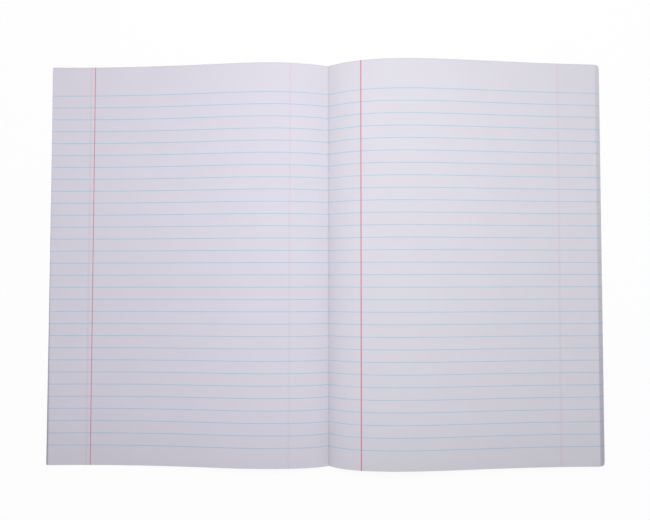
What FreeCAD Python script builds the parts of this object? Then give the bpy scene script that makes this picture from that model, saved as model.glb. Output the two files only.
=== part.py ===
import FreeCAD, Part
import Sketcher
import math
import os

# An open composition notebook, lying on its covers.
# X runs across the spread, from the front cover to the back cover. Y runs from the tail to the head.
# Z points up. The origin is on the table, under the middle of the spine.

doc = FreeCAD.newDocument("composition_notebook")

# Driving sizes, in millimetres and degrees.
SIZE_ROWS = [
    # the covers and the spine
    ("page_height", 250.0, "of the leaves and the covers, from head to tail"),
    ("spine_width", 10.0, "between the two cover folds"),
    ("cover_reach", 175.0, "from the middle of the spine to the fore-edge of a cover"),
    ("cover_thickness", 0.9, "pressed board with its endpaper"),
    ("front_head_trim", 1.8, "how much shorter the front cover was cut at the head"),
    ("back_head_trim", 0.2, "how much shorter the back cover was cut at the head"),
    ("tape_thickness", 0.2, "cloth tape round the spine"),
    ("tape_wing", 12.0, "tape glued to each cover, from its fold outwards"),
    # the stack of leaves
    ("fold_clearance", 0.2, "between the fold of the leaves and the inner edge of a cover"),
    ("gutter_offset", 1.8, "from the middle of the spine to the gutter of the open spread"),
    ("gutter_height", 4.24, "gutter above the inner face of the covers"),
    ("front_edge_height", 1.9, "front stack at its fore-edge"),
    ("back_edge_height", 6.9, "back stack at its fore-edge"),
    ("front_margin", 0.2, "front cover seen past its lowest leaf"),
    ("back_margin", 1.2, "back cover seen past its lowest leaf"),
    ("front_lean_head", 0.1, "front fore-edge at the head, from lowest to top leaf"),
    ("front_lean_tail", 0.8, "front fore-edge at the tail, from lowest to top leaf"),
    ("back_lean_head", 4.4, "back fore-edge at the head, from lowest to top leaf"),
    ("back_lean_tail", 4.4, "back fore-edge at the tail, from lowest to top leaf"),
    # the crest of each page: its distance from the gutter, and its rise above the gutter
    ("front_crest_out_head", 34.2, ""),
    ("front_crest_out_tail", 37.3, ""),
    ("front_crest_up_head", 7.5, ""),
    ("front_crest_up_tail", 6.5, ""),
    ("back_crest_out_head", 46.8, ""),
    ("back_crest_out_tail", 42.1, ""),
    ("back_crest_up_head", 15.0, ""),
    ("back_crest_up_tail", 12.5, ""),
    # slope of each page in degrees, where it leaves the gutter and where it meets its fore-edge
    ("front_gutter_slope_head", 22.6, ""),
    ("front_gutter_slope_tail", 35.3, ""),
    ("front_edge_slope_head", 0.8, ""),
    ("front_edge_slope_tail", 1.7, ""),
    ("back_gutter_slope_head", 38.5, ""),
    ("back_gutter_slope_tail", 46.4, ""),
    ("back_edge_slope_head", -4.1, ""),
    ("back_edge_slope_tail", -0.7, ""),
    # how far each page keeps its direction, as handle lengths of its two curves
    ("front_gutter_hold", 11.1, ""),
    ("front_crest_hold_in", 10.9, ""),
    ("front_crest_hold_out", 33.2, ""),
    ("front_edge_hold", 75.6, ""),
    ("back_gutter_hold", 8.8, ""),
    ("back_crest_hold_in", 27.8, ""),
    ("back_crest_hold_out", 31.0, ""),
    ("back_edge_hold", 61.8, ""),
    # the sewing
    ("thread_diameter", 0.6, ""),
    ("thread_seat", 0.05, "between the thread and the tape"),
    ("thread_room", 0.1, "between the thread and its way through the leaves, all round"),
    ("thread_cover", 0.9, "leaves between an inner stitch and the gutter"),
    ("thread_turn", 0.2, "inner radius of its way's bends"),
    ("stitch_length", 10.0, ""),
    ("sewing_margin", 15.0, "least distance of the sewing from the head and the tail"),
]

sizes = doc.addObject("Spreadsheet::Sheet", "Sizes")
for row, (alias, value, note) in enumerate(SIZE_ROWS, start=1):
    sizes.set(f"A{row}", alias)
    sizes.set(f"B{row}", str(value))
    sizes.set(f"C{row}", note)
    sizes.setAlias(f"B{row}", alias)
doc.recompute()

FRONT = -1                # the front cover lies on the -X side of the spine
BACK = 1
TAIL = -1                 # the tail is the -Y end
HEAD = 1
SKETCH_ORIGIN = (-1, 1)   # a sketch's own origin, as a geometry and a point of it

# Expressions that several pieces share.
HALF_HEIGHT = "Sizes.page_height / 2"
FOLD_LINE = "Sizes.spine_width / 2"
WING_END = "Sizes.spine_width / 2 + Sizes.tape_wing"
OUTER_RUN = "(Sizes.tape_thickness + Sizes.thread_seat + Sizes.thread_diameter / 2)"
WAY_RADIUS = "(Sizes.thread_diameter / 2 + Sizes.thread_room)"
INNER_RUN = ("(Sizes.cover_thickness + Sizes.gutter_height - Sizes.thread_cover"
             f" - {WAY_RADIUS})")
THREAD_BEND = f"({WAY_RADIUS} + Sizes.thread_turn)"
STITCH_PAIRS = "floor((Sizes.page_height / 2 - Sizes.sewing_margin) / Sizes.stitch_length)"
SEWN_HALF = f"(Sizes.stitch_length * {STITCH_PAIRS})"


def worth(expression):
    """The value of an expression on the sheet, as a plain number."""
    return float(sizes.evalExpression(expression))


def new_body(label):
    body = doc.addObject("PartDesign::Body", label)
    body.Label = label
    return body


def new_sketch(body, name, plane_role):
    sketch = body.newObject("Sketcher::SketchObject", name)
    plane = [item for item in body.Origin.OriginFeatures if item.Role == plane_role][0]
    sketch.AttachmentSupport = (plane, [""])
    sketch.MapMode = "FlatFace"
    return sketch


def bind(sketch, kind, ends, expression, name):
    """A constraint whose value follows an expression on the sheet."""
    index = sketch.addConstraint(Sketcher.Constraint(kind, *ends, worth(expression)))
    sketch.renameConstraint(index, name)
    sketch.setExpression(f"Constraints.{name}", expression)


def bind_from_origin(sketch, kind, point, side, expression, name):
    """Holds a point at a distance from the sketch's origin, to its positive or negative side."""
    ends = (*SKETCH_ORIGIN, *point) if side > 0 else (*point, *SKETCH_ORIGIN)
    bind(sketch, kind, ends, expression, name)


def plate_outline(sketch, corners):
    """Four straight sides. A corner is its side and distance in X, and its side and distance in Y."""
    points = [FreeCAD.Vector(side_x * worth(out), side_y * worth(along), 0)
              for side_x, out, side_y, along in corners]
    for number in range(4):
        sketch.addGeometry(Part.LineSegment(points[number], points[(number + 1) % 4]))
    for number in range(4):
        sketch.addConstraint(Sketcher.Constraint("Coincident", number, 2, (number + 1) % 4, 1))
    for number, (side_x, out, side_y, along) in enumerate(corners):
        bind_from_origin(sketch, "DistanceX", (number, 1), side_x, out, f"out_{number}")
        bind_from_origin(sketch, "DistanceY", (number, 1), side_y, along, f"along_{number}")


def pad_up(body, sketch, thickness):
    pad = body.newObject("PartDesign::Pad", sketch.Name + "_pad")
    pad.Profile = sketch
    pad.setExpression("Length", thickness)
    body.Tip = pad
    doc.recompute()


def make_cover(label, side, head_trim):
    """A board on its outer face, with a shallow rebate in which the tape is glued flush."""
    body = new_body(label)
    outline = new_sketch(body, label + "_outline", "XY_Plane")
    plate_outline(outline, [
        (side, FOLD_LINE, TAIL, HALF_HEIGHT),
        (side, "Sizes.cover_reach", TAIL, HALF_HEIGHT),
        (side, f"Sizes.cover_reach - Sizes.{head_trim}", HEAD, HALF_HEIGHT),
        (side, FOLD_LINE, HEAD, HALF_HEIGHT),
    ])
    pad_up(body, outline, "Sizes.cover_thickness")
    uncut = body.Shape.Volume
    rebate_outline = new_sketch(body, label + "_rebate_outline", "XY_Plane")
    plate_outline(rebate_outline, wing_corners(side))
    rebate = body.newObject("PartDesign::Pocket", label + "_rebate")
    rebate.Profile = rebate_outline
    rebate.Reversed = True
    rebate.setExpression("Length", "Sizes.tape_thickness")
    body.Tip = rebate
    doc.recompute()
    wanted = worth("Sizes.tape_wing * Sizes.page_height * Sizes.tape_thickness")
    print(label, "rebate takes", round(uncut - body.Shape.Volume, 2), "of", round(wanted, 2), "mm3")
    return body


def wing_corners(side):
    """The part of the tape that is glued to one cover."""
    return [
        (side, FOLD_LINE, TAIL, HALF_HEIGHT),
        (side, WING_END, TAIL, HALF_HEIGHT),
        (side, WING_END, HEAD, HALF_HEIGHT),
        (side, FOLD_LINE, HEAD, HALF_HEIGHT),
    ]


def spine_corners():
    """The part of the tape between the two cover folds."""
    return [
        (FRONT, FOLD_LINE, TAIL, HALF_HEIGHT),
        (BACK, FOLD_LINE, TAIL, HALF_HEIGHT),
        (BACK, FOLD_LINE, HEAD, HALF_HEIGHT),
        (FRONT, FOLD_LINE, HEAD, HALF_HEIGHT),
    ]


def make_tape(label, corners):
    body = new_body(label)
    outline = new_sketch(body, label + "_outline", "XY_Plane")
    plate_outline(outline, corners)
    pad_up(body, outline, "Sizes.tape_thickness")
    return body


def stitch_path(body, name):
    """The middle of the thread over one pair of stitches, in the plane of the spine.

    It starts with half an outer stitch, goes up through the leaves, makes the inner stitch,
    comes down again and ends with the other half of an outer stitch.
    """
    low = worth(OUTER_RUN)
    high = worth(INNER_RUN)
    bend = worth(THREAD_BEND)
    start = -worth(SEWN_HALF)
    stitch = worth("Sizes.stitch_length")
    up_leg = start + stitch / 2
    down_leg = up_leg + stitch

    path = new_sketch(body, name, "YZ_Plane")

    def line(y_from, z_from, y_to, z_to):
        path.addGeometry(Part.LineSegment(FreeCAD.Vector(y_from, z_from, 0),
                                          FreeCAD.Vector(y_to, z_to, 0)))

    def quarter_turn(y_middle, z_middle, start_angle):
        circle = Part.Circle(FreeCAD.Vector(y_middle, z_middle, 0), FreeCAD.Vector(0, 0, 1), bend)
        first = math.radians(start_angle)
        path.addGeometry(Part.ArcOfCircle(circle, first, first + math.pi / 2))

    line(start, low, up_leg - bend, low)
    quarter_turn(up_leg - bend, low + bend, 270)
    line(up_leg, low + bend, up_leg, high - bend)
    quarter_turn(up_leg + bend, high - bend, 90)
    line(up_leg + bend, high, down_leg - bend, high)
    quarter_turn(down_leg - bend, high - bend, 0)
    line(down_leg, high - bend, down_leg, low + bend)
    quarter_turn(down_leg + bend, low + bend, 180)
    line(down_leg + bend, low, start + 2 * stitch, low)
    # an arc runs anticlockwise, so the two upper turns meet their neighbours the other way round
    meetings = [((0, 2), (1, 1)), ((1, 2), (2, 1)), ((2, 2), (3, 2)), ((3, 1), (4, 1)),
                ((4, 2), (5, 2)), ((5, 1), (6, 1)), ((6, 2), (7, 1)), ((7, 2), (8, 1))]
    for before, after in meetings:
        path.addConstraint(Sketcher.Constraint("Tangent", *before, *after))
    for level in (0, 4, 8):
        path.addConstraint(Sketcher.Constraint("Horizontal", level))
    for turn in (3, 5, 7):
        path.addConstraint(Sketcher.Constraint("Equal", 1, turn))
    bind(path, "Radius", (1,), THREAD_BEND, "bend")
    bind_from_origin(path, "DistanceX", (0, 1), -1, SEWN_HALF, "start")
    bind_from_origin(path, "DistanceY", (0, 1), 1, OUTER_RUN, "outer_run")
    bind_from_origin(path, "DistanceY", (4, 1), 1, INNER_RUN, "inner_run")
    bind(path, "DistanceX", (0, 1, 2, 1), "Sizes.stitch_length / 2", "first_half")
    bind(path, "DistanceX", (2, 1, 6, 1), "Sizes.stitch_length", "inner_stitch")
    bind(path, "DistanceX", (6, 1, 8, 2), "Sizes.stitch_length / 2", "last_half")
    return path


def make_stitches(label, radius):
    """A running stitch along the fold: one pair of stitches swept, then repeated along Y."""
    body = new_body(label)
    path = stitch_path(body, label + "_path")
    section = new_sketch(body, label + "_section", "XZ_Plane")
    section.setExpression("AttachmentOffset.Base.z", SEWN_HALF)
    section.addGeometry(Part.Circle(FreeCAD.Vector(0, worth(OUTER_RUN), 0), FreeCAD.Vector(0, 0, 1),
                                    worth(radius)))
    section.addConstraint(Sketcher.Constraint("Vertical", 0, 3, *SKETCH_ORIGIN))
    bind_from_origin(section, "DistanceY", (0, 3), 1, OUTER_RUN, "outer_run")
    bind(section, "Radius", (0,), radius, "radius")
    doc.recompute()
    pair = body.newObject("PartDesign::AdditivePipe", label + "_pair")
    pair.Profile = section
    pair.Spine = path
    body.Tip = pair
    doc.recompute()
    run = body.newObject("PartDesign::LinearPattern", label + "_run")
    run.Originals = [pair]
    run.Direction = (path, ["H_Axis"])
    run.Mode = "Spacing"
    run.setExpression("Offset", "2 * Sizes.stitch_length")
    run.setExpression("Occurrences", STITCH_PAIRS)
    body.Tip = run
    doc.recompute()
    length = path.Shape.Length * worth(STITCH_PAIRS)
    print(label, "volume", round(body.Shape.Volume, 2), "section times length",
          round(math.pi * worth(radius) ** 2 * length, 2), "mm3")
    return body


def page_profile(end, end_name):
    """The closed outline of the leaves at the head or the tail.

    The leaves lie flat on both covers and fill the fold between them. On top, each page rises from
    the gutter to its crest and falls off to its fore-edge, as two curves with a level crest.
    """
    along = end * worth(HALF_HEIGHT)
    floor = worth("Sizes.cover_thickness")
    gutter = FreeCAD.Vector(worth("Sizes.gutter_offset"), along, floor + worth("Sizes.gutter_height"))
    trimmed = 1 if end == HEAD else 0

    def page_side(side, name):
        lowest_out = (worth("Sizes.cover_reach") - trimmed * worth(f"Sizes.{name}_head_trim")
                      - worth(f"Sizes.{name}_margin"))
        lowest = FreeCAD.Vector(side * lowest_out, along, floor)
        top_out = lowest_out - worth(f"Sizes.{name}_lean_{end_name}")
        edge = FreeCAD.Vector(side * top_out, along, floor + worth(f"Sizes.{name}_edge_height"))
        crest = gutter + FreeCAD.Vector(side * worth(f"Sizes.{name}_crest_out_{end_name}"), 0,
                                        worth(f"Sizes.{name}_crest_up_{end_name}"))
        gutter_slope = math.radians(worth(f"Sizes.{name}_gutter_slope_{end_name}"))
        edge_slope = math.radians(worth(f"Sizes.{name}_edge_slope_{end_name}"))

        def heading(slope):
            return FreeCAD.Vector(side * math.cos(slope), 0, math.sin(slope))

        rise = Part.BezierCurve()
        rise.setPoles([
            gutter,
            gutter + heading(gutter_slope) * worth(f"Sizes.{name}_gutter_hold"),
            crest - heading(0) * worth(f"Sizes.{name}_crest_hold_in"),
            crest,
        ])
        fall = Part.BezierCurve()
        fall.setPoles([
            crest,
            crest + heading(0) * worth(f"Sizes.{name}_crest_hold_out"),
            edge - heading(edge_slope) * worth(f"Sizes.{name}_edge_hold"),
            edge,
        ])
        return lowest, edge, rise, fall

    front_lowest, front_edge, front_rise, front_fall = page_side(FRONT, "front")
    back_lowest, back_edge, back_rise, back_fall = page_side(BACK, "back")
    fold_half = worth(FOLD_LINE) - worth("Sizes.fold_clearance")
    fold_floor = worth("Sizes.tape_thickness")
    under = [
        front_lowest,
        FreeCAD.Vector(-fold_half, along, floor),
        FreeCAD.Vector(-fold_half, along, fold_floor),
        FreeCAD.Vector(fold_half, along, fold_floor),
        FreeCAD.Vector(fold_half, along, floor),
        back_lowest,
        back_edge,
    ]
    edges = [Part.LineSegment(first, second).toShape() for first, second in zip(under, under[1:])]
    edges += [curve.toShape() for curve in (back_fall, back_rise, front_rise, front_fall)]
    edges.append(Part.LineSegment(front_edge, front_lowest).toShape())
    return Part.Wire(edges)


def make_page_block(thread_way):
    """All the leaves as one solid, from the tail to the head, with the thread's way cut through."""
    leaves = doc.addObject("Part::Feature", "leaves")
    leaves.Shape = Part.makeLoft([page_profile(TAIL, "tail"), page_profile(HEAD, "head")], True, True)
    leaves.Placement = FreeCAD.Placement()
    block = doc.addObject("Part::Cut", "page_block")
    block.Label = "page_block"
    block.Base = leaves
    block.Tool = thread_way
    doc.recompute()
    return block


front_cover = make_cover("front_cover", FRONT, "front_head_trim")
back_cover = make_cover("back_cover", BACK, "back_head_trim")
spine_tape = make_tape("spine_tape", spine_corners())
front_tape_wing = make_tape("front_tape_wing", wing_corners(FRONT))
back_tape_wing = make_tape("back_tape_wing", wing_corners(BACK))
sewing_thread = make_stitches("sewing_thread", "(Sizes.thread_diameter / 2)")
thread_way = make_stitches("thread_way", WAY_RADIUS)
page_block = make_page_block(thread_way)
SUBPARTS = [page_block, front_cover, back_cover, spine_tape, front_tape_wing, back_tape_wing,
            sewing_thread]

doc.recompute()
for item in doc.Objects:
    if "Invalid" in item.State or "Error" in item.State:
        raise RuntimeError(f"{item.Label} failed: {item.State}")
for subpart in SUBPARTS:
    if subpart.Shape.isNull() or not subpart.Shape.isValid():
        raise RuntimeError(f"{subpart.Label} has no sound shape")

os.makedirs("parts", exist_ok=True)
for subpart in SUBPARTS:
    box = subpart.Shape.BoundBox
    print(f"{subpart.Label}: {len(subpart.Shape.Solids)} solid, {subpart.Shape.Volume:.1f} mm3,",
          f"x {box.XMin:.2f}..{box.XMax:.2f}, y {box.YMin:.2f}..{box.YMax:.2f},",
          f"z {box.ZMin:.2f}..{box.ZMax:.2f}")
    subpart.Shape.exportStep(f"parts/{subpart.Label}.step")
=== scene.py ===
# %% [markdown]
# # An open composition notebook
#
# The notebook lies open on its covers and is seen from straight above. Everything that has a real
# size was settled in the part's source, and arrives here as a fixed frame. This script gives the
# notebook its looks: single leaves in place of one solid block of paper, printed rules, board
# covers with their endpapers, and a woven tape round the spine. The frame is loaded first, so that
# each new piece can be put where the frame says.

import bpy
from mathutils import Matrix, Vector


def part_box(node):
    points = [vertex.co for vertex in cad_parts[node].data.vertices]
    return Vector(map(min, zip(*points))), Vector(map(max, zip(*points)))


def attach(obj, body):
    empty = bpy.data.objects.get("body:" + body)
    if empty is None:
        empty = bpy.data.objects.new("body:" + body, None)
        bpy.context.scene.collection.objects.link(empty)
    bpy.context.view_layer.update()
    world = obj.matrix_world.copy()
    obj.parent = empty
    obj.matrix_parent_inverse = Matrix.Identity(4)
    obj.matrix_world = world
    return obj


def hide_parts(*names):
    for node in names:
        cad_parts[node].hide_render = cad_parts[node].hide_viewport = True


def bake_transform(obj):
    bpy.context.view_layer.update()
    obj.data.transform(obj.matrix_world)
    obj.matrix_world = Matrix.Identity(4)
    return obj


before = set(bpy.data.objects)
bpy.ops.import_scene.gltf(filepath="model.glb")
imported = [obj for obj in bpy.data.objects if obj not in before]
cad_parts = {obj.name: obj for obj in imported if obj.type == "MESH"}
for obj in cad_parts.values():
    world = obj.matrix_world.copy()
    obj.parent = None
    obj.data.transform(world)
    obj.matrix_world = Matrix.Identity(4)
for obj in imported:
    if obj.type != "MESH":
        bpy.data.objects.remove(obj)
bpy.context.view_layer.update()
print("nodes:", sorted(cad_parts))

# %% Modules and units
import math
import random

import bmesh
import bpy
from mathutils import Matrix, Vector
from mathutils.geometry import interpolate_bezier

MM = 0.001          # Blender works in metres, and paper is measured in millimetres


def mm_box(node):
    """The lowest and highest corner of a frame node, in millimetres."""
    low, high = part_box(node)
    return Vector(low) / MM, Vector(high) / MM


paper_low, paper_high = mm_box("page_block")
board_high = mm_box("front_cover")[1]
wing_low = mm_box("front_tape_wing")[0]
spine_low, spine_high = mm_box("spine_tape")
HALF_HEIGHT = paper_high.y
print("the leaves reach from", paper_low[:], "to", paper_high[:])

# %% [markdown]
# ## A helper that turns a bmesh into a piece
#
# Every piece is made in a bmesh, in millimetres, and ends as an object at the origin with its place
# in its mesh. One helper does the last steps the same way each time: it turns millimetres into
# metres, rounds the shading over gentle bends and keeps it crisp where two faces meet at an angle.
# A piece could also be shaded flat and get a bevel everywhere, but a sheet of paper is far thinner
# than any bevel, so a sharp edge is the honest choice.

# %% From bmesh to piece
SHARP_ANGLE = math.radians(35)


def make_piece(name, bm, material):
    """Turns a bmesh in millimetres into a finished object."""
    bmesh.ops.scale(bm, vec=(MM, MM, MM), verts=bm.verts)
    for face in bm.faces:
        face.smooth = True
    for edge in bm.edges:
        edge.smooth = edge.calc_face_angle(0.0) < SHARP_ANGLE
    mesh = bpy.data.meshes.new(name)
    bm.to_mesh(mesh)
    bm.free()
    mesh.materials.append(material)
    piece = bpy.data.objects.new(name, mesh)
    bpy.context.scene.collection.objects.link(piece)
    triangles = sum(len(polygon.vertices) - 2 for polygon in mesh.polygons)
    print(name, "has", triangles, "triangles")
    return piece


# %% [markdown]
# ## Small tools for materials
#
# A material here is a chain of nodes. Written out one by one, such chains are long and hard to
# read, so a few small tools shorten them: each adds one kind of node, and gives back its result. A
# colour is written as it looks on a screen, from 0 to 255, and turned into the linear value that
# the shader wants.

# %% Colours and new materials
def screen_colour(red, green, blue):
    """A colour as a screen shows it, as the linear colour that a shader works with."""
    def linear(value):
        share = value / 255
        return share / 12.92 if share <= 0.04045 else ((share + 0.055) / 1.055) ** 2.4
    return (linear(red), linear(green), linear(blue), 1.0)


def new_material(name):
    material = bpy.data.materials.new(name)
    material.use_nodes = True
    return material, material.node_tree.nodes["Principled BSDF"]


# %% Node tools
def add_node(owner, kind, inputs=None, **settings):
    """Adds a node to a material or world. An input is a plain value, or another node's output."""
    node = owner.node_tree.nodes.new(kind)
    for name, value in settings.items():
        setattr(node, name, value)
    for socket, value in (inputs or {}).items():
        if isinstance(value, bpy.types.NodeSocket):
            owner.node_tree.links.new(value, node.inputs[socket])
        else:
            node.inputs[socket].default_value = value
    return node


def add_maths(owner, operation, *values):
    inputs = dict(enumerate(values))
    return add_node(owner, "ShaderNodeMath", inputs, operation=operation).outputs[0]


def add_ramp(owner, value, low, high, at_low=0.0, at_high=1.0):
    """Goes evenly from at_low to at_high while the value goes from low to high."""
    inputs = {"Value": value, "From Min": low, "From Max": high,
              "To Min": at_low, "To Max": at_high}
    return add_node(owner, "ShaderNodeMapRange", inputs).outputs["Result"]


def add_noise(owner, place, scale, detail=2.0, roughness=0.5):
    inputs = {"Vector": place, "Scale": scale, "Detail": detail, "Roughness": roughness}
    return add_node(owner, "ShaderNodeTexNoise", inputs).outputs["Fac"]


def add_mix(owner, share, first, second):
    """Mixes two colours: the first where share is 0, the second where it is 1."""
    mix = add_node(owner, "ShaderNodeMix", data_type="RGBA")
    for socket, value in zip((mix.inputs[0], mix.inputs[6], mix.inputs[7]), (share, first, second)):
        if isinstance(value, bpy.types.NodeSocket):
            owner.node_tree.links.new(value, socket)
        else:
            socket.default_value = value
    return mix.outputs[2]


def add_bump(material, shader, height, distance, strength=1.0):
    bump = add_node(material, "ShaderNodeBump",
                    {"Height": height, "Distance": distance, "Strength": strength})
    material.node_tree.links.new(bump.outputs["Normal"], shader.inputs["Normal"])


def paint(material, shader, colour):
    material.node_tree.links.new(colour, shader.inputs["Base Color"])


# %% [markdown]
# ## Ruled paper
#
# The paper is uncoated and slightly lavender. It is printed with pale blue rules and a red margin
# line, and the print of its other side shows through faintly. An image could carry the print, but
# an image has a fixed sharpness, and rules worked out from the place on the page stay crisp at any
# distance. The rules need only the Y coordinate, because they run straight across both pages. The
# margin lines need the distance from the leaf's fore-edge, measured along the bent paper, so each
# leaf carries that distance as an attribute. The paper is painted a little grey at its cut edges,
# partly as grime from handling and partly as painted shade between the leaves, and it is painted
# darker toward the tail as painted shade.

# %% Sizes and colours of the print, in millimetres
RULE_COUNT = 30
RULE_PITCH = 7.567
TOP_MARGIN = 18.21             # from the head to the first rule
RULE_WIDTH = 0.42
FRONT_PAPER_COLOUR = screen_colour(219, 216, 227)
BACK_PAPER_COLOUR = screen_colour(217, 215, 223)
RULE_COLOUR = screen_colour(160, 203, 233)
MARGIN_COLOUR = screen_colour(213, 116, 134)
FROM_EDGE = "from_edge"        # the attribute: distance from the fore-edge, in metres


# %% The mask of one printed line
def line_mask(material, distance, width, soft=0.04):
    """1 on a line, 0 off it, from the distance to the line's middle in metres."""
    half = width / 2
    return add_ramp(material, distance, (half - soft) * MM, (half + soft) * MM, 1.0, 0.0)


def distance_to(material, coordinate, place):
    """How far a coordinate is from a place on the page, given in millimetres."""
    return add_maths(material, "ABSOLUTE", add_maths(material, "SUBTRACT", coordinate, place * MM))


def distance_to_rule(material, across):
    """How far a Y coordinate is from the nearest rule, held between the first and the last."""
    first_rule = (HALF_HEIGHT - TOP_MARGIN) * MM
    down = add_maths(material, "SUBTRACT", first_rule, across)
    number = add_maths(material, "ROUND", add_maths(material, "DIVIDE", down, RULE_PITCH * MM))
    number = add_maths(material, "MAXIMUM", number, 0.0)
    number = add_maths(material, "MINIMUM", number, RULE_COUNT - 1.0)
    nearest = add_maths(material, "MULTIPLY", number, RULE_PITCH * MM)
    return add_maths(material, "ABSOLUTE", add_maths(material, "SUBTRACT", down, nearest))


# %% Grime and painted shade on the paper, with its widths in millimetres
DARKER_PULP = 0.93             # how bright the darkest clouds in the pulp are
SHOWN_SOFT = 0.45              # how soft the edges of a line are that shows through
# the cut edges are painted grey: partly grime from handling, partly painted shade between the
# leaves
GRIME_AND_SHADE_COLOUR = screen_colour(96, 92, 100)
GRIME_AND_SHADE_WIDTH = 0.9
HEAD_GRIME_AND_SHADE = 0.3               # how grey the fore-edge is at the head, as a share of the tail's
END_GRIME_AND_SHADE = 0.1
TAIL_SHADE = 0.055              # painted shade: the soft grey toward the tail
TAIL_SHADE_WIDTH = 34.0


def add_grime_and_shade(material, across, from_edge, edge_grime_and_shade):
    """How grey the paper is painted: grime and painted shade at the fore-edge, most toward the
    tail, then at head and tail, and painted shade toward the tail.
    """
    half_height = HALF_HEIGHT * MM
    # grime and painted shade at the fore-edge, growing toward the tail
    at_edge = add_ramp(material, from_edge, 0.0, GRIME_AND_SHADE_WIDTH * MM, 1.0, 0.0)
    growth = add_ramp(material, across, -half_height, half_height, edge_grime_and_shade, edge_grime_and_shade * HEAD_GRIME_AND_SHADE)
    at_edge = add_maths(material, "MULTIPLY", at_edge, growth)
    # grime and painted shade at the head and tail ends
    to_end = add_maths(material, "ABSOLUTE", across)
    to_end = add_maths(material, "SUBTRACT", half_height, to_end)
    at_end = add_ramp(material, to_end, 0.0, GRIME_AND_SHADE_WIDTH * MM, END_GRIME_AND_SHADE, 0.0)
    # painted shade: the paper is painted a little darker toward the tail
    above_tail = add_maths(material, "ADD", across, half_height)
    at_tail = add_ramp(material, above_tail, 0.0, TAIL_SHADE_WIDTH * MM, TAIL_SHADE, 0.0)
    return add_maths(material, "MAXIMUM", add_maths(material, "MAXIMUM", at_edge, at_end), at_tail)


# %% The paper's material
def make_paper(name, base, margin_at, margin_width, shown_through, askew, edge_grime_and_shade):
    """shown_through gives each faint line's place, width and strength.

    askew is how much nearer to the fore-edge the print stands at the tail than at the head, and
    the last argument is how grey the fore-edge is painted, partly as grime and partly as painted
    shade.
    """
    material, shader = new_material(name)
    place = add_node(material, "ShaderNodeTexCoord").outputs["Object"]
    axes = add_node(material, "ShaderNodeSeparateXYZ", {0: place})
    from_edge = add_node(material, "ShaderNodeAttribute", attribute_name=FROM_EDGE).outputs["Fac"]

    # clouds and fibres in the pulp, and ink that is a little uneven along each line
    clouds = add_noise(material, place, scale=60.0, detail=4.0)
    fibres = add_noise(material, place, scale=1600.0, detail=2.0)
    ink = add_noise(material, place, scale=900.0, detail=3.0)
    ink = add_maths(material, "MULTIPLY_ADD", ink, 0.5, 0.72)
    darker = tuple(channel * DARKER_PULP for channel in base[:3]) + (1.0,)
    pulp = add_maths(material, "MULTIPLY_ADD", fibres, 0.35, -0.1)
    pulp = add_maths(material, "MULTIPLY_ADD", clouds, 0.5, pulp)
    colour = add_mix(material, pulp, base, darker)

    skew = askew / (2 * HALF_HEIGHT)
    printed = add_maths(material, "MULTIPLY_ADD", axes.outputs["Y"], -skew, askew * MM / 2)
    printed = add_maths(material, "ADD", printed, from_edge)
    for line_place, width, strength in shown_through:
        distance = distance_to(material, printed, line_place)
        mask = line_mask(material, distance, width, soft=SHOWN_SOFT)
        faint = add_maths(material, "MULTIPLY", mask, strength)
        colour = add_mix(material, faint, colour, MARGIN_COLOUR)
    rules = line_mask(material, distance_to_rule(material, axes.outputs["Y"]), RULE_WIDTH)
    colour = add_mix(material, add_maths(material, "MULTIPLY", rules, ink), colour, RULE_COLOUR)
    red = line_mask(material, distance_to(material, printed, margin_at), margin_width)
    colour = add_mix(material, add_maths(material, "MULTIPLY", red, ink), colour, MARGIN_COLOUR)

    # grime and painted shade at the cut edges, and painted shade toward the tail
    grime_and_shade = add_grime_and_shade(material, axes.outputs["Y"], from_edge, edge_grime_and_shade)
    colour = add_mix(material, grime_and_shade, colour, GRIME_AND_SHADE_COLOUR)
    paint(material, shader, colour)
    shader.inputs["Roughness"].default_value = 0.9
    shader.inputs["Specular IOR Level"].default_value = 0.25
    add_bump(material, shader, fibres, 0.02 * MM, strength=0.4)
    return material


FRONT_PRINT = {"base": FRONT_PAPER_COLOUR, "margin_at": 27.15, "margin_width": 0.47,
               "shown_through": [(151.7, 1.2, 0.08), (24.6, 1.4, 0.1)], "askew": 0.8}
BACK_PRINT = {"base": BACK_PAPER_COLOUR, "margin_at": 148.5, "margin_width": 0.64,
              "shown_through": [(24.4, 1.6, 0.08)], "askew": 0.0}
# each paper's own number is how grey its fore-edge is painted, as grime and painted shade; the
# stacks get the most
papers = {
    "front_leaves": make_paper("front leaf paper", edge_grime_and_shade=0.5, **FRONT_PRINT),
    "back_leaves": make_paper("back leaf paper", edge_grime_and_shade=0.36, **BACK_PRINT),
    "front_open_page": make_paper("front page paper", edge_grime_and_shade=0.15, **FRONT_PRINT),
    "back_open_page": make_paper("back page paper", edge_grime_and_shade=0.15, **BACK_PRINT),
}
print("paper materials:", [paper.name for paper in papers.values()])

# %% [markdown]
# ## The line that each leaf follows
#
# Seen from the head, the top leaf of each side rises from the gutter to a crest, and falls off to
# its fore-edge. Two Bezier curves with a level meeting point draw that line, with the same sizes as
# the solid in the frame. The line differs a little between head and tail, so there is one for each
# end, and the paper runs straight between them. The lowest leaf lies flat on its cover. Every leaf
# between them is a blend of the two, which is how a fan of pages really lies.

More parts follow.
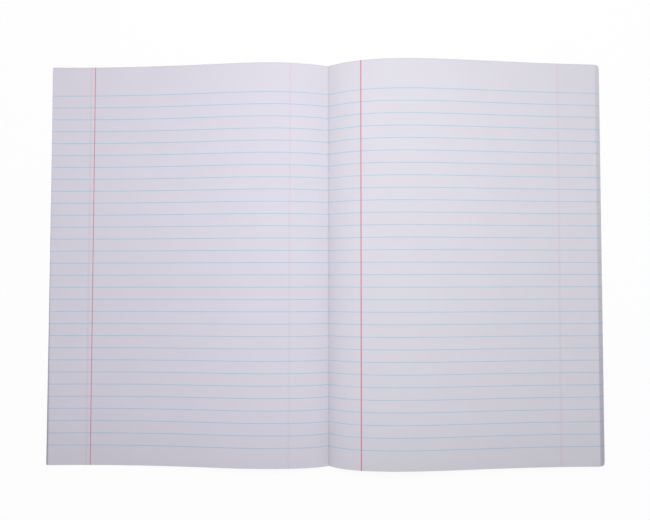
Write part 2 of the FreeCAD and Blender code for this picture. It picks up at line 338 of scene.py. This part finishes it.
# %% Sizes of the open spread, in millimetres and degrees
GUTTER_OFFSET = 1.8
GUTTER_HEIGHT = 4.24
HEAD, TAIL = "head", "tail"
FRONT, BACK = -1, 1
HOLDS = {FRONT: (11.1, 10.9, 33.2, 75.6), BACK: (8.8, 27.8, 31.0, 61.8)}
PAGES = {
    # crest out, crest up, slope at the gutter, slope at the fore-edge, lean of the fore-edge
    (FRONT, HEAD): (34.2, 7.5, 22.6, 0.8, 0.1),
    (FRONT, TAIL): (37.3, 6.5, 35.3, 1.7, 1.6),
    (BACK, HEAD): (46.8, 15.0, 38.5, -4.1, 4.4),
    (BACK, TAIL): (42.1, 12.5, 46.4, -0.7, 4.4),
}
EDGE_HEIGHTS = {FRONT: 1.9, BACK: 6.9}
COVER_MARGINS = {FRONT: 0.2, BACK: 1.2}
COVER_TOP = board_high.z       # the inner face of the covers, on which the lowest leaves lie
FOLD_MARGIN = 0.4              # between the flat fold of the sheets and the edge of the spine
LEAF_THICKNESS = 0.07


# %% Where each cover ends at the head and the tail
def cover_reach(node, end):
    """How far a cover reaches from the middle of the spine, read off the frame's own corners."""
    at_end = [vertex.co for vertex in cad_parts[node].data.vertices
              if (vertex.co.y > 0) == (end == HEAD)]
    return max(abs(corner.x) for corner in at_end) / MM


COVERS = {FRONT: "front_cover", BACK: "back_cover"}
REACHES = {(side, end): cover_reach(COVERS[side], end)
           for side in (FRONT, BACK) for end in (HEAD, TAIL)}
print("the covers reach", {key: round(value, 2) for key, value in REACHES.items()})


# %% The top line and the lowest line of one side
def heading(side, slope):
    """The direction outwards on one side, rising by an angle in degrees."""
    angle = math.radians(slope)
    return Vector((side * math.cos(angle), 0, math.sin(angle)))


def top_line(side, end, steps):
    """Points of the top leaf from gutter to fore-edge. steps has those of the rise and the fall."""
    crest_out, crest_up, gutter_slope, edge_slope, lean = PAGES[side, end]
    gutter_hold, crest_hold_in, crest_hold_out, edge_hold = HOLDS[side]
    gutter = Vector((GUTTER_OFFSET, 0, COVER_TOP + GUTTER_HEIGHT))
    crest = gutter + Vector((side * crest_out, 0, crest_up))
    edge = Vector((side * (REACHES[side, end] - COVER_MARGINS[side] - lean), 0,
                   COVER_TOP + EDGE_HEIGHTS[side]))
    rise = interpolate_bezier(gutter, gutter + heading(side, gutter_slope) * gutter_hold,
                              crest - heading(side, 0) * crest_hold_in, crest, steps[0] + 1)
    fall = interpolate_bezier(crest, crest + heading(side, 0) * crest_hold_out,
                              edge - heading(side, edge_slope) * edge_hold, edge, steps[1] + 1)
    return rise + fall[1:]


def lowest_line(side, end, top):
    """Points of the lowest leaf, flat on the cover, as far along its length as those of the top."""
    lengths = [0.0]
    for before, after in zip(top, top[1:]):
        lengths.append(lengths[-1] + (after - before).length)
    start = side * (spine_high.x + FOLD_MARGIN)
    finish = side * (REACHES[side, end] - COVER_MARGINS[side])
    return [Vector((start + (finish - start) * length / lengths[-1], 0, COVER_TOP + LEAF_THICKNESS))
            for length in lengths]


# %% [markdown]
# ## The leaves
#
# The book is one section: 49 sheets, folded once and sewn through the fold, which makes 98 leaves.
# It lies open with 21 leaves on the front cover and 77 on the back cover. Each leaf is a grid, bent
# to its line and given the thickness of paper, because a bare surface would have no edge to see
# from the side. The leaves of one side are kept in one piece, since nothing moves them apart, and
# the top leaf of each side is a finer piece of its own. Seeded random numbers set each leaf a
# little off its even place, as air and cutting do in a real book.

# %% Counts, and where the sheets are folded
FRONT_LEAVES, BACK_LEAVES = 21, 77
LEAVES = FRONT_LEAVES + BACK_LEAVES
INNER_FOLD = Vector((1.3, 0, 3.0))        # the fold of the innermost sheet
OUTER_FOLD = spine_high.x - FOLD_MARGIN   # half the width of the outermost sheet's flat fold
FOLD_STEPS = 6
DRAW_BACK = 2.5                           # how late, on the way up, the fore-edges draw back
GUTTER_GAP = 0.24                         # how far the two open pages part at the gutter
LOW_ARRIVAL, TOP_ARRIVAL = 17, 42         # how steeply the lowest and the top leaf leave the fold
LEAST_CUT, MOST_CUT = 0.02, 0.3           # how short of the full height a leaf may be cut
LEAST_AIR, AIR_CONTRAST = 0.35, 1.5       # how uneven the air between the leaves is
shuffle = random.Random(7)
CUTS = [shuffle.uniform(LEAST_CUT, MOST_CUT) for _ in range(LEAVES)]
print("the leaves are cut short by up to", round(max(CUTS), 2), "mm")


def side_of(leaf):
    return FRONT if leaf < FRONT_LEAVES else BACK


def height_share(leaf):
    """0 for the lowest leaf of a side, 1 for its top leaf."""
    if side_of(leaf) == FRONT:
        return leaf / (FRONT_LEAVES - 1)
    return (LEAVES - 1 - leaf) / (BACK_LEAVES - 1)


def airy_shares(count):
    """Shares from 0 to 1 with uneven steps: most leaves cling together, and air parts a few."""
    gaps = [LEAST_AIR + shuffle.expovariate(1.0) ** AIR_CONTRAST for _ in range(count - 1)]
    shares = [0.0]
    for gap in gaps:
        shares.append(shares[-1] + gap / sum(gaps))
    return shares


FRONT_AIR = airy_shares(FRONT_LEAVES)
BACK_AIR = airy_shares(BACK_LEAVES)


def airy_share(leaf):
    """Where a leaf hangs in the open part of the fan, with the air between the leaves uneven."""
    return FRONT_AIR[leaf] if side_of(leaf) == FRONT else BACK_AIR[LEAVES - 1 - leaf]


def is_top(leaf):
    return leaf in (FRONT_LEAVES - 1, FRONT_LEAVES)


def fold_corner(leaf):
    """Where a leaf rises from its fold. The sheets are nested, and the innermost has no width."""
    depth = min(leaf, LEAVES - 1 - leaf) / (LEAVES / 2)
    half = FRONT if leaf < LEAVES / 2 else BACK
    outer = Vector((half * OUTER_FOLD, 0, spine_high.z + LEAF_THICKNESS))
    return outer.lerp(INNER_FOLD, depth)


# %% The whole line of one leaf
def leaf_line(leaf, end, steps):
    """Points of one leaf at one end, from the middle of its fold to its fore-edge."""
    side = side_of(leaf)
    share = height_share(leaf)
    uneven = airy_share(leaf) - share
    top = top_line(side, end, steps)
    fan = []
    for number, (low, high) in enumerate(zip(lowest_line(side, end, top), top)):
        along = number / (len(top) - 1)
        point = low.lerp(high, share + uneven * math.sin(math.pi * along))
        # the fore-edges of the lower leaves stand nearly flush, and the upper ones draw back
        point.x += (share ** DRAW_BACK - share) * (high.x - low.x) * along ** 2
        fan.append(point)
    if is_top(leaf):
        # the two leaves that meet in the gutter part a little, which shows as a thin dark line
        fan[0] = fan[0] + Vector((side * GUTTER_GAP / 2, 0, 0))
    corner = fold_corner(leaf)
    partner = fold_corner(LEAVES - 1 - leaf)
    middle = (corner + partner) / 2
    near_corner = middle.lerp(corner, 0.8)
    reach = (fan[0] - corner).length
    arriving = heading(side, LOW_ARRIVAL).lerp(heading(BACK, TOP_ARRIVAL), share).normalized()
    rise = interpolate_bezier(near_corner, corner.lerp(near_corner, 0.2),
                              fan[0] - arriving * 0.5 * reach, fan[0], FOLD_STEPS + 1)
    return [middle] + rise[:-1] + fan


print("the lowest front leaf starts at", leaf_line(0, HEAD, (2, 2))[0][:])


# %% One leaf as a bent grid
def lengths_to_end(line):
    """How much of a line is left at each of its points."""
    left = [0.0]
    for before, after in zip(reversed(line), reversed(line[:-1])):
        left.append(left[-1] + (after - before).length)
    return left[::-1]


def add_leaf(bm, leaf, rows, steps):
    """Adds one leaf to a bmesh, with its distance from the fore-edge as a vertex attribute."""
    from_edge = bm.verts.layers.float.get(FROM_EDGE) or bm.verts.layers.float.new(FROM_EDGE)
    head_line, tail_line = leaf_line(leaf, HEAD, steps), leaf_line(leaf, TAIL, steps)
    head_left, tail_left = lengths_to_end(head_line), lengths_to_end(tail_line)
    half_height = HALF_HEIGHT - (0 if is_top(leaf) else CUTS[leaf])
    columns = len(head_line) - 1
    grid = bmesh.ops.create_grid(bm, x_segments=columns, y_segments=rows, size=0.5)
    for vertex in grid["verts"]:
        column = round((vertex.co.x + 0.5) * columns)
        if side_of(leaf) == FRONT:
            column = columns - column
        upward = vertex.co.y + 0.5
        place = tail_line[column].lerp(head_line[column], upward)
        vertex.co = (place.x, half_height * (2 * upward - 1), place.z)
        vertex[from_edge] = MM * (tail_left[column] * (1 - upward) + head_left[column] * upward)
    faces = {face for vertex in grid["verts"] for face in vertex.link_faces}
    bmesh.ops.solidify(bm, geom=list(faces), thickness=LEAF_THICKNESS)


# %% Stacks and open pages
def make_leaves(name, leaves, rows, steps):
    bm = bmesh.new()
    for leaf in leaves:
        add_leaf(bm, leaf, rows, steps)
    piece = make_piece(name, bm, papers[name])
    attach(piece, "leaves")
    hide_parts("page_block")
    heights = [vertex.co.z / MM for vertex in piece.data.vertices]
    print(name, "z from", round(min(heights), 2), "to", round(max(heights), 2))
    return piece


STACK = {"rows": 3, "steps": (14, 20)}
OPEN_PAGE = {"rows": 30, "steps": (42, 60)}
make_leaves("front_leaves", range(FRONT_LEAVES - 1), **STACK)
make_leaves("back_leaves", range(FRONT_LEAVES + 1, LEAVES), **STACK)
make_leaves("front_open_page", [FRONT_LEAVES - 1], **OPEN_PAGE)
make_leaves("back_open_page", [FRONT_LEAVES], **OPEN_PAGE)

# %% [markdown]
# ## Cover board and endpaper
#
# Each cover is a thin pressed board. Its outer face is dark, its core is grey where the edge was
# cut, and a pale endpaper is pasted on its inner face. The photograph shows only the thin edge of
# the endpaper beside the right-hand leaves, and the rest is made as such boards usually are. A
# painted picture of grain would be flat in raking light, so noise drives both the colour and a
# small relief.

# %% Board material
CORE_STARTS = 0.14             # how thick the dark outer face is


def make_board_material():
    material, shader = new_material("pressed board")
    place = add_node(material, "ShaderNodeTexCoord").outputs["Object"]
    height = add_node(material, "ShaderNodeSeparateXYZ", {0: place}).outputs["Z"]
    mottle = add_noise(material, place, scale=700.0, detail=5.0, roughness=0.65)
    grain = add_noise(material, place, scale=2600.0, detail=3.0, roughness=0.6)
    blotch = add_noise(material, place, scale=45.0, detail=3.0)
    tone = add_maths(material, "MULTIPLY", blotch, 0.2)
    tone = add_maths(material, "MULTIPLY_ADD", mottle, 0.8, tone)
    tone = add_ramp(material, tone, 0.36, 0.64)
    skin = add_mix(material, tone, screen_colour(38, 41, 50), screen_colour(84, 88, 100))
    core = add_mix(material, grain, screen_colour(150, 145, 136), screen_colour(190, 185, 175))
    is_core = add_maths(material, "GREATER_THAN", height, CORE_STARTS * MM)
    paint(material, shader, add_mix(material, is_core, skin, core))
    shader.inputs["Roughness"].default_value = 0.62
    shader.inputs["Specular IOR Level"].default_value = 0.4
    relief = add_maths(material, "ADD", mottle, add_maths(material, "MULTIPLY", grain, 0.5))
    add_bump(material, shader, relief, 0.05 * MM, strength=0.6)
    return material


# %% Endpaper material
def make_endpaper_material():
    material, shader = new_material("pale endpaper")
    place = add_node(material, "ShaderNodeTexCoord").outputs["Object"]
    fibres = add_noise(material, place, scale=1200.0, detail=4.0, roughness=0.6)
    clouds = add_noise(material, place, scale=50.0, detail=3.0)
    tone = add_maths(material, "MULTIPLY", fibres, 0.4)
    tone = add_maths(material, "MULTIPLY_ADD", clouds, 0.6, tone)
    paint(material, shader, add_mix(material, tone, screen_colour(228, 225, 219),
                                    screen_colour(206, 203, 197)))
    shader.inputs["Roughness"].default_value = 0.85
    shader.inputs["Specular IOR Level"].default_value = 0.3
    add_bump(material, shader, fibres, 0.02 * MM, strength=0.5)
    return material


board_material = make_board_material()
endpaper_material = make_endpaper_material()

# %% [markdown]
# ## The boards
#
# A board starts as a cube, stretched to the frame's sizes. Its outer edge runs a little aslant on
# the front cover, as the photograph shows, so the two corners at the head are moved on their own.
# The tape lies in a shallow step under the board's inner strip. The step comes from cutting the
# board along a plane and extruding only the outer part downwards. All edges then get a small bevel,
# because a cut board is never razor sharp.

# %% A slab with four corners of its own
ENDPAPER = 0.1                 # thickness, and how far the endpaper stands in from the edges
BOARD_BEVEL = 0.12
TAPE_THICKNESS = spine_high.z - spine_low.z


def add_slab(bm, side, near, inset, low, high):
    """A flat slab on one cover, from x = near to the cover's outer edge, between two heights."""
    slab = bmesh.ops.create_cube(bm, size=2)
    for vertex in slab["verts"]:
        outer = vertex.co.x * side > 0
        end = HEAD if vertex.co.y > 0 else TAIL
        x = side * (REACHES[side, end] - inset) if outer else side * near
        y = vertex.co.y * (HALF_HEIGHT - inset)
        vertex.co = (x, y, high if vertex.co.z > 0 else low)
    return slab["verts"]


def make_board(side, name, body):
    bm = bmesh.new()
    add_slab(bm, side, spine_high.x, 0, TAPE_THICKNESS, COVER_TOP - ENDPAPER)
    step = side * abs(wing_low.x)
    bmesh.ops.bisect_plane(bm, geom=bm.verts[:] + bm.edges[:] + bm.faces[:], dist=0.001,
                           plane_co=(step, 0, 0), plane_no=(side, 0, 0))
    below = [face for face in bm.faces
             if face.normal.z < -0.9 and face.calc_center_median().x * side > step * side]
    pulled = bmesh.ops.extrude_face_region(bm, geom=below)
    moved = [item for item in pulled["geom"] if isinstance(item, bmesh.types.BMVert)]
    bmesh.ops.delete(bm, geom=below, context="FACES")
    bmesh.ops.translate(bm, verts=moved, vec=(0, 0, -TAPE_THICKNESS))
    bmesh.ops.recalc_face_normals(bm, faces=bm.faces)
    sharp = [edge for edge in bm.edges if edge.calc_face_angle(0.0) > SHARP_ANGLE]
    bmesh.ops.bevel(bm, geom=sharp, offset=BOARD_BEVEL, affect="EDGES", segments=2, profile=0.5,
                    material=-1)
    piece = make_piece(name, bm, board_material)
    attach(piece, body)
    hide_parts(COVERS[side])
    return piece


make_board(FRONT, "front_board", "front_cover")
make_board(BACK, "back_board", "back_cover")


# %% The endpapers
def make_endpaper(side, name, body):
    bm = bmesh.new()
    add_slab(bm, side, spine_high.x + ENDPAPER, ENDPAPER, COVER_TOP - ENDPAPER, COVER_TOP)
    piece = make_piece(name, bm, endpaper_material)
    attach(piece, body)
    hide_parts(COVERS[side])
    return piece


make_endpaper(FRONT, "front_endpaper", "front_cover")
make_endpaper(BACK, "back_endpaper", "back_cover")

# %% [markdown]
# ## The cloth tape
#
# One strip of woven book cloth wraps the spine and is glued to both boards. Each half is a flat
# grid of many narrow columns. The weave is drawn from a UV map laid out in metres on the flat tape.
# Object coordinates would do for a tape that never moves, but on a bent one the threads would
# slide.

# %% Tape material
THREAD_PITCH = 0.36            # millimetres from one thread to the next
SOFT_CROSSING = 0.25           # how gently one thread dives under the other


def make_tape_material():
    material, shader = new_material("woven tape")
    flat = add_node(material, "ShaderNodeUVMap", uv_map="flat").outputs["UV"]
    axes = add_node(material, "ShaderNodeSeparateXYZ", {0: flat})
    turns = 2 * math.pi / (THREAD_PITCH * MM)

    def wave(coordinate, factor=1.0):
        phase = add_maths(material, "MULTIPLY", coordinate, turns * factor)
        return add_maths(material, "SINE", phase)

    # over and under: where the product of the slow waves is positive the warp is on top
    warp, weft = wave(axes.outputs["X"]), wave(axes.outputs["Y"])
    slow_warp, slow_weft = wave(axes.outputs["X"], 0.5), wave(axes.outputs["Y"], 0.5)
    over = add_maths(material, "MULTIPLY", slow_warp, slow_weft)
    over = add_ramp(material, over, -SOFT_CROSSING, SOFT_CROSSING)
    warp_part = add_maths(material, "MULTIPLY", warp, over)
    weft_part = add_maths(material, "MULTIPLY", weft, add_maths(material, "SUBTRACT", 1.0, over))
    fuzz = add_noise(material, flat, scale=3500.0, detail=3.0)
    relief = add_maths(material, "ADD", warp_part, weft_part)
    relief = add_maths(material, "MULTIPLY_ADD", fuzz, 0.8, relief)
    # painted shade: the weave's low places are painted darker than the threads on top
    tone = add_ramp(material, relief, -0.8, 1.6)
    paint(material, shader, add_mix(material, tone, screen_colour(22, 22, 24),
                                    screen_colour(62, 62, 66)))
    shader.inputs["Roughness"].default_value = 0.85
    shader.inputs["Sheen Weight"].default_value = 0.15
    add_bump(material, shader, relief, 0.06 * MM, strength=0.7)
    return material


tape_material = make_tape_material()

# %% The two halves of the tape
TAPE_COLUMNS, TAPE_ROWS = 42, 12


def make_tape(side, name, wing):
    bm = bmesh.new()
    width = abs(wing_low.x)
    grid = bmesh.ops.create_grid(bm, x_segments=TAPE_COLUMNS, y_segments=TAPE_ROWS, size=0.5)
    bmesh.ops.scale(bm, vec=(width, 2 * HALF_HEIGHT, 1), verts=grid["verts"])
    bmesh.ops.translate(bm, vec=(side * width / 2, 0, TAPE_THICKNESS), verts=grid["verts"])
    bmesh.ops.solidify(bm, geom=bm.faces[:], thickness=TAPE_THICKNESS)
    flat = bm.loops.layers.uv.new("flat")
    for face in bm.faces:
        for loop in face.loops:
            loop[flat].uv = (loop.vert.co.x * MM, loop.vert.co.y * MM)
    piece = make_piece(name, bm, tape_material)
    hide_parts("spine_tape", wing)
    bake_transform(piece)
    return piece


make_tape(FRONT, "front_tape", "front_tape_wing")
make_tape(BACK, "back_tape", "back_tape_wing")

# %% [markdown]
# ## The sewing thread
#
# A running stitch of twisted cotton holds the section through its fold. It lies inside the leaves
# and hardly shows, so the frame's own solid keeps its shape and only gets a finish: slanting bands
# of two strands twisted together, with painted shade in the grooves between them.

# %% Thread material
TWIST_PITCH = 0.5              # millimetres from one strand to the next


def make_thread_material():
    material, shader = new_material("twisted cotton")
    place = add_node(material, "ShaderNodeTexCoord").outputs["Object"]
    axes = add_node(material, "ShaderNodeSeparateXYZ", {0: place})
    slant = add_maths(material, "ADD", axes.outputs["X"], axes.outputs["Y"])
    slant = add_maths(material, "ADD", slant, axes.outputs["Z"])
    turns = add_maths(material, "MULTIPLY", slant, 2 * math.pi / (TWIST_PITCH * MM))
    strands = add_maths(material, "SINE", turns)
    fuzz = add_noise(material, place, scale=5000.0, detail=2.0)
    # painted shade: the grooves between the strands are painted darker
    tone = add_ramp(material, strands, -1.0, 1.0)
    paint(material, shader, add_mix(material, tone, screen_colour(196, 190, 176),
                                    screen_colour(238, 234, 222)))
    shader.inputs["Roughness"].default_value = 0.8
    add_bump(material, shader, add_maths(material, "ADD", strands, fuzz), 0.05 * MM, strength=0.6)
    return material


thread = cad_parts["sewing_thread"]
thread.data.materials.clear()
thread.data.materials.append(make_thread_material())
print("the thread is finished in", thread.data.materials[0].name)

# %% [markdown]
# ## Camera
#
# The photograph was taken from above the middle of the spread. The place and the small tilts come
# from matching the spacing of the rules, the edges of the leaves and the gutter. A lens with a
# longer focal length from farther away would show less of the pages' swell, so the distance matters
# as much as the framing.

# %% The camera of the photograph
CAMERA_PLACE = Vector((-0.878, -9.452, 405.14))
CAMERA_TILTS = (("Y", -0.0800), ("X", 1.7263), ("Z", -0.0663))   # degrees, outermost first
LENS, SENSOR_WIDTH = 35.42, 36

camera_data = bpy.data.cameras.new("camera")
camera_data.sensor_fit = "HORIZONTAL"
camera_data.sensor_width = SENSOR_WIDTH
camera_data.lens = LENS
camera = bpy.data.objects.new("camera", camera_data)
bpy.context.scene.collection.objects.link(camera)
turn = Matrix.Identity(4)
for axis, degrees in CAMERA_TILTS:
    turn = turn @ Matrix.Rotation(math.radians(degrees), 4, axis)
camera.matrix_world = Matrix.Translation(CAMERA_PLACE * MM) @ turn
bpy.context.scene.camera = camera
print("the camera is", round(CAMERA_PLACE.z), "mm above the table")

# %% [markdown]
# ## Table, background and light
#
# The notebook lies on a white ground. A floor that is bright enough to render white would throw
# that light back on the paper, so the floor shows the white background through, and keeps only a
# share of its own surface for the notebook's shadow. Only what the camera sees is plain white. The
# world that lights the pages is dim overhead and bright near the horizon, as pale walls round a
# table are, so that the cut edges of the leaves aren't dark. One soft lamp hangs half a metre above
# the head half of the spread. A lamp far away would light the pages evenly, but so near, it leaves
# them darker toward the tail and the sides, as in the photograph.

# %% The floor
FLOOR_SHARE = 0.08             # how much of the floor's own surface the camera sees
SHADOW_FADES = 0.2, 0.5        # metres from the middle where that share shrinks, and where it ends
FLOOR_HALF_WIDTH = 3000
FLOOR_DROP = 0.2               # how far below the covers the floor lies


def make_floor_material():
    material, shader = new_material("pale table")
    shader.inputs["Base Color"].default_value = (0.97, 0.97, 0.97, 1.0)
    shader.inputs["Roughness"].default_value = 1.0
    shader.inputs["Specular IOR Level"].default_value = 0.0
    path = add_node(material, "ShaderNodeLightPath")
    from_behind = add_node(material, "ShaderNodeNewGeometry").outputs["Backfacing"]
    share = add_maths(material, "MULTIPLY", path.outputs["Is Camera Ray"], FLOOR_SHARE)
    from_front = add_maths(material, "SUBTRACT", 1.0, from_behind)
    share = add_maths(material, "MULTIPLY", share, from_front)
    place = add_node(material, "ShaderNodeTexCoord").outputs["Object"]
    away = add_node(material, "ShaderNodeVectorMath", {0: place}, operation="LENGTH")
    near = add_ramp(material, away.outputs["Value"], *SHADOW_FADES, 1.0, 0.0)
    share = add_maths(material, "MULTIPLY", share, near)
    clear = add_node(material, "ShaderNodeBsdfTransparent").outputs[0]
    mixed = add_node(material, "ShaderNodeMixShader", {0: share, 1: clear, 2: shader.outputs[0]})
    output = material.node_tree.nodes["Material Output"]
    material.node_tree.links.new(mixed.outputs[0], output.inputs["Surface"])
    return material


floor_mesh = bmesh.new()
bmesh.ops.create_grid(floor_mesh, x_segments=1, y_segments=1, size=FLOOR_HALF_WIDTH)
bmesh.ops.translate(floor_mesh, vec=(0, 0, -FLOOR_DROP), verts=floor_mesh.verts)
make_piece("table", floor_mesh, make_floor_material())

# %% The background
SURROUNDINGS = (1.0, 0.98, 1.1, 1.0)        # the tint of the pale walls all round
OVERHEAD, HORIZON = 0.15, 1.25              # how bright they are straight up and at the horizon
TOWARD_HORIZON = 2.0                        # how late the brightness grows on the way down
world = bpy.data.worlds.new("studio")
world.use_nodes = True
bpy.context.scene.world = world
path = add_node(world, "ShaderNodeLightPath")
seen = add_maths(world, "MAXIMUM", path.outputs["Is Camera Ray"], path.outputs["Is Glossy Ray"])
seen = add_maths(world, "MAXIMUM", seen, path.outputs["Is Transmission Ray"])
toward = add_node(world, "ShaderNodeTexCoord").outputs["Generated"]
up = add_node(world, "ShaderNodeSeparateXYZ", {0: toward}).outputs["Z"]
level = add_maths(world, "SUBTRACT", 1.0, add_maths(world, "ABSOLUTE", up))
level = add_maths(world, "POWER", level, TOWARD_HORIZON)
level = add_maths(world, "MULTIPLY_ADD", level, HORIZON - OVERHEAD, OVERHEAD)
surroundings = world.node_tree.nodes["Background"]
surroundings.inputs["Color"].default_value = SURROUNDINGS
world.node_tree.links.new(level, surroundings.inputs["Strength"])
white = add_node(world, "ShaderNodeBackground", {"Color": (1.0, 1.0, 1.0, 1.0), "Strength": 1.0})
mixed = add_node(world, "ShaderNodeMixShader",
                 {0: seen, 1: surroundings.outputs[0], 2: white.outputs[0]})
output = world.node_tree.nodes["World Output"]
world.node_tree.links.new(mixed.outputs[0], output.inputs["Surface"])
print("the surroundings are", HORIZON, "bright at the horizon and", OVERHEAD, "overhead")

# %% The lamp
LAMP_PLACE = Vector((0.024, 0.108, 0.51))   # metres
LAMP_SIZE = 0.16
LAMP_POWER = 1.95
lamp_data = bpy.data.lights.new("soft lamp", "AREA")
lamp_data.shape = "DISK"
lamp_data.size = LAMP_SIZE
lamp_data.energy = LAMP_POWER
lamp_data.color = (1.0, 1.0, 0.96)
lamp = bpy.data.objects.new("soft lamp", lamp_data)
lamp.matrix_world = Matrix.Translation(LAMP_PLACE)
bpy.context.scene.collection.objects.link(lamp)
print("the lamp is", round(LAMP_PLACE.length, 2), "m from the notebook")

# %% [markdown]
# ## Colours
#
# The Standard view shows a colour as it was written.

# %% View transform
bpy.context.scene.view_settings.view_transform = "Standard"
